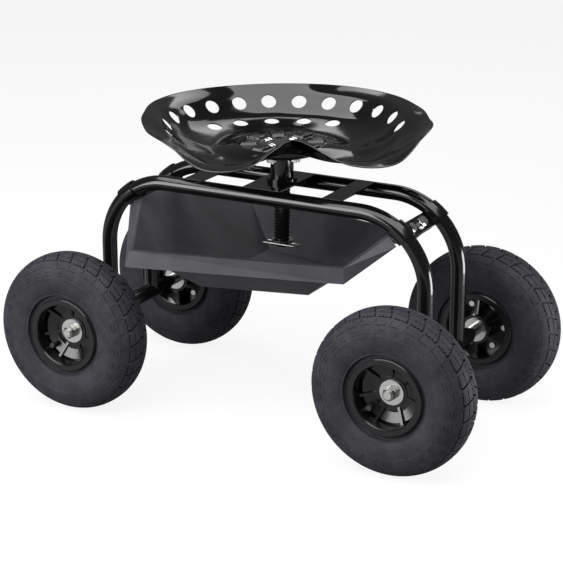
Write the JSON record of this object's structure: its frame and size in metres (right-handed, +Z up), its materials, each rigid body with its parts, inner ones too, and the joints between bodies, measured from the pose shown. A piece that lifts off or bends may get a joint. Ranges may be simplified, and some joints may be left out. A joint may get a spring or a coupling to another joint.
{
  "type": "creeper seat",
  "caption": "Rolling creeper seat: a pressed steel pan on a screw post over a hooped tube frame, with pneumatic wheels and a tool tray slung beneath.",
  "frame": {"origin": "on the floor under the middle of the whole: midway between the axles, and 18.4 mm in front of the screw, because the seat's wings reach further forward than back", "axes": "+X along the wheelbase to the right, -Y to the front as pictured, +Z up"},
  "size_m": [0.809, 0.4541, 0.4805],
  "materials": {
    "black_steel": "gloss black powder coat on steel tube and plate",
    "seat_steel": "gloss black powder coat on pressed sheet steel",
    "zinc_steel": "bright zinc plate",
    "bearing_steel": "ground steel races with pressed shields",
    "tray_plastic": "grained dark grey polypropylene",
    "rim_plastic": "satin black polypropylene",
    "tyre_rubber": "moulded blue-black tyre rubber",
    "tube_rubber": "smooth black butyl rubber"
  },
  "bodies": {
    "frame": {"front_hoop": "black_steel", "rear_hoop": "black_steel", "left_axle_beam": "black_steel", "right_axle_beam": "black_steel", "left_axle_rod": "zinc_steel", "right_axle_rod": "zinc_steel", "axle_spacers": "black_steel", "axle_washers": "zinc_steel", "axle_nuts": "zinc_steel", "centre_plate": "black_steel", "left_cross_strap": "black_steel", "right_cross_strap": "black_steel", "screw_sleeve": "black_steel", "sleeve_flange": "black_steel", "left_bracket_upper": "black_steel", "left_bracket_lower": "black_steel", "right_bracket_upper": "black_steel", "right_bracket_lower": "black_steel", "bracket_bolts": "zinc_steel", "bracket_washers": "zinc_steel", "bracket_nuts": "zinc_steel", "tool_tray": "tray_plastic"},
    "lift": {"stop_washer": "zinc_steel"},
    "seat": {"seat_pan": "seat_steel", "seat_bracket": "black_steel", "seat_bolts": "zinc_steel", "seat_nuts": "zinc_steel", "adjusting_screw": "black_steel", "hairpin_clip": "zinc_steel"},
    "fl_wheel": {"fl_tyre": "tyre_rubber", "fl_inner_tube": "tube_rubber", "fl_rim_outer": "rim_plastic", "fl_rim_inner": "rim_plastic", "fl_rim_screws": "zinc_steel", "fl_bearings": "bearing_steel"},
    "fr_wheel": {"fr_tyre": "tyre_rubber", "fr_inner_tube": "tube_rubber", "fr_rim_outer": "rim_plastic", "fr_rim_inner": "rim_plastic", "fr_rim_screws": "zinc_steel", "fr_bearings": "bearing_steel"},
    "rl_wheel": {"rl_tyre": "tyre_rubber", "rl_inner_tube": "tube_rubber", "rl_rim_outer": "rim_plastic", "rl_rim_inner": "rim_plastic", "rl_rim_screws": "zinc_steel", "rl_bearings": "bearing_steel"},
    "rr_wheel": {"rr_tyre": "tyre_rubber", "rr_inner_tube": "tube_rubber", "rr_rim_outer": "rim_plastic", "rr_rim_inner": "rim_plastic", "rr_rim_screws": "zinc_steel", "rr_bearings": "bearing_steel"}
  },
  "joints": [
    {"name": "seat_lift", "type": "slide", "parent": "frame", "child": "lift", "axis": [0, 0, 1], "range_m": [-0.0049, 0.0891]},
    {"name": "seat_turn", "type": "hinge", "parent": "lift", "child": "seat", "pos_m": [0.004, 0.0184, 0.4], "axis": [0, 0, 1], "range_deg": [-340, 6300]},
    {"name": "fl_wheel_spin", "type": "hinge", "parent": "frame", "child": "fl_wheel", "pos_m": [-0.2775, -0.1496, 0.127], "axis": [0, 1, 0], "continuous": true},
    {"name": "fr_wheel_spin", "type": "hinge", "parent": "frame", "child": "fr_wheel", "pos_m": [0.2775, -0.1496, 0.127], "axis": [0, 1, 0], "continuous": true},
    {"name": "rl_wheel_spin", "type": "hinge", "parent": "frame", "child": "rl_wheel", "pos_m": [-0.2775, 0.1864, 0.127], "axis": [0, 1, 0], "continuous": true},
    {"name": "rr_wheel_spin", "type": "hinge", "parent": "frame", "child": "rr_wheel", "pos_m": [0.2775, 0.1864, 0.127], "axis": [0, 1, 0], "continuous": true}
  ],
  "couplings": [
    {"joint": "seat_lift", "follows": "seat_turn", "m_per_rad": 0.00080851}
  ]
}
